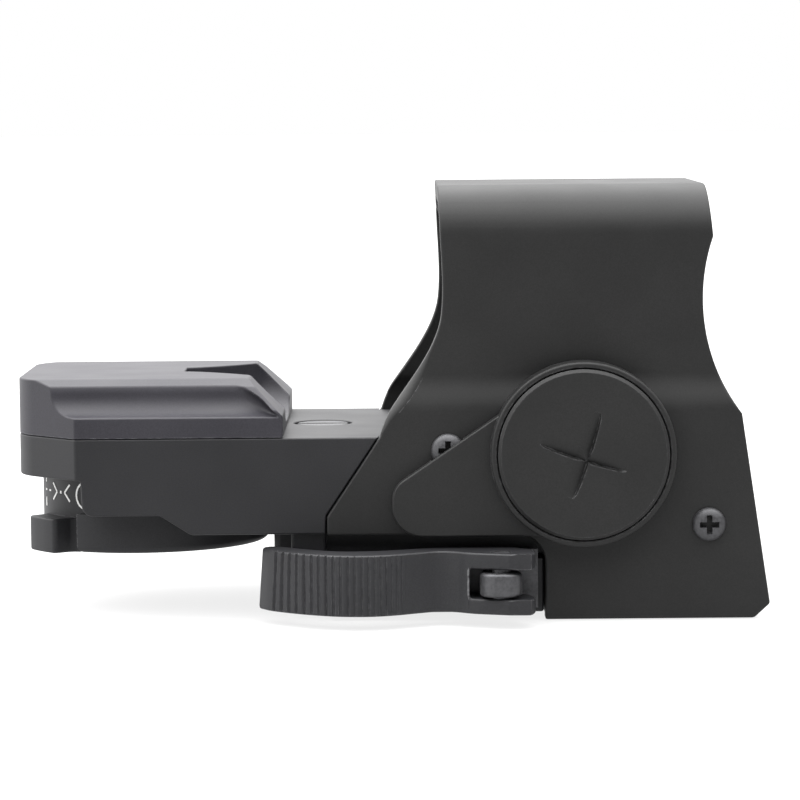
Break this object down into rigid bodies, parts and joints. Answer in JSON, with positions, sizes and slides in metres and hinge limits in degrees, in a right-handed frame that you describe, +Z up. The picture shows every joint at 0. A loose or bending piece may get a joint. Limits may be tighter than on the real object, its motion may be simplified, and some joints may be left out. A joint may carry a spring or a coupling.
{
  "type": "reflex sight",
  "caption": "Rail-mounted open reflex sight: hooded tilted lens, rear light module with a reticle selector, side battery compartment and quick-release rail lever.",
  "frame": {"origin": "centre of the rail seat, on the flat that rests on the top of the rail", "axes": "+X forward along the rail towards the target, +Y to the user's left, +Z up"},
  "size_m": [0.1053, 0.0566, 0.0603],
  "materials": {
    "black_anodised": "matte black anodised",
    "black_coat": "matte black coating",
    "black_steel": "black oxide",
    "bright_steel": "bright",
    "rubber": "matte",
    "circuit_board": "solder mask",
    "led": "clear red",
    "brass": "machined",
    "lens_glass": "coated"
  },
  "bodies": {
    "housing": {"main_body": "black_anodised", "hood": "black_anodised", "emitter_cover": "black_coat", "emitter_window": "lens_glass", "lens_frame": "black_anodised", "lens_retainer": "black_anodised", "lens": "lens_glass", "selector_base": "black_anodised", "circuit_board": "circuit_board", "battery_housing": "black_anodised", "coin_battery": "bright_steel", "battery_contact_spring": "brass", "keypad_bezel": "black_anodised", "cross_bolt": "black_steel", "cross_bolt_nut": "black_steel", "lever_pivot_pin": "bright_steel", "elevation_spring": "bright_steel", "windage_spring": "bright_steel", "detent_ball": "bright_steel", "hood_screw_front_right": "black_steel", "hood_screw_front_left": "black_steel", "hood_screw_rear_right": "black_steel", "hood_screw_rear_left": "black_steel", "cover_screw_right": "black_steel", "cover_screw_left": "black_steel"},
    "selector": {"selector_knob": "black_anodised", "selector_shaft": "bright_steel", "mask_drum": "black_steel"},
    "cap_ring": {"battery_cap_oring": "rubber"},
    "cap": {"battery_cap": "black_anodised"},
    "elevation_adjuster": {"elevation_screw": "black_steel"},
    "elevation_slide": {"elevation_stage": "brass"},
    "windage_adjuster": {"windage_screw": "black_steel"},
    "emitter_slide": {"emitter_carriage": "black_steel", "led_emitter": "led"},
    "lever": {"qr_lever": "black_anodised"},
    "jaw": {"clamp_jaw": "black_anodised", "thrust_plate": "black_steel"},
    "up_button": {"brightness_up_button": "rubber"},
    "down_button": {"brightness_down_button": "rubber"}
  },
  "joints": [
    {"name": "selector_turn", "type": "hinge", "parent": "housing", "child": "selector", "pos_m": [-0.0564, 0, 0.008], "axis": [0, 0, 1], "range_deg": [-76.2, 0]},
    {"name": "cap_travel", "type": "slide", "parent": "housing", "child": "cap_ring", "axis": [0, -1, 0], "range_m": [0, 0.0015]},
    {"name": "battery_cap_turn", "type": "hinge", "parent": "cap_ring", "child": "cap", "pos_m": [0.00616, -0.0265, 0.0164], "axis": [0, -1, 0], "range_deg": [0, 720]},
    {"name": "elevation_turn", "type": "hinge", "parent": "housing", "child": "elevation_adjuster", "pos_m": [-0.0303, 0, 0.0175], "axis": [0, 0, 1], "range_deg": [-360, 360]},
    {"name": "elevation_travel", "type": "slide", "parent": "housing", "child": "elevation_slide", "axis": [0, 0, 1], "range_m": [-0.0005, 0.0005], "deforming": ["elevation_spring"]},
    {"name": "windage_turn", "type": "hinge", "parent": "housing", "child": "windage_adjuster", "pos_m": [-0.0326, 0.0215, 0.0112], "axis": [0, 1, 0], "range_deg": [-360, 360]},
    {"name": "windage_travel", "type": "slide", "parent": "elevation_slide", "child": "emitter_slide", "axis": [0, 1, 0], "range_m": [-0.0005, 0.0005]},
    {"name": "lever_swing", "type": "hinge", "parent": "housing", "child": "lever", "pos_m": [-0.0054, -0.0289, -0.0011], "axis": [0, 0, 1], "range_deg": [0, 100]},
    {"name": "jaw_travel", "type": "slide", "parent": "housing", "child": "jaw", "axis": [0, -1, 0], "range_m": [0, 0.001]},
    {"name": "up_button_press", "type": "slide", "parent": "housing", "child": "up_button", "axis": [0, -1, 0], "range_m": [0, 0.0006], "stiffness_N_per_m": 500, "springref_m": -0.0003},
    {"name": "down_button_press", "type": "slide", "parent": "housing", "child": "down_button", "axis": [0, -1, 0], "range_m": [0, 0.0006], "stiffness_N_per_m": 500, "springref_m": -0.0003}
  ],
  "couplings": [
    {"joint": "battery_cap_turn", "follows": "cap_travel", "rad_per_m": 8377},
    {"joint": "elevation_turn", "follows": "elevation_travel", "rad_per_m": -12566},
    {"joint": "windage_turn", "follows": "windage_travel", "rad_per_m": -12566},
    {"joint": "lever_swing", "follows": "jaw_travel", "rad_per_m": 1745.3}
  ]
}
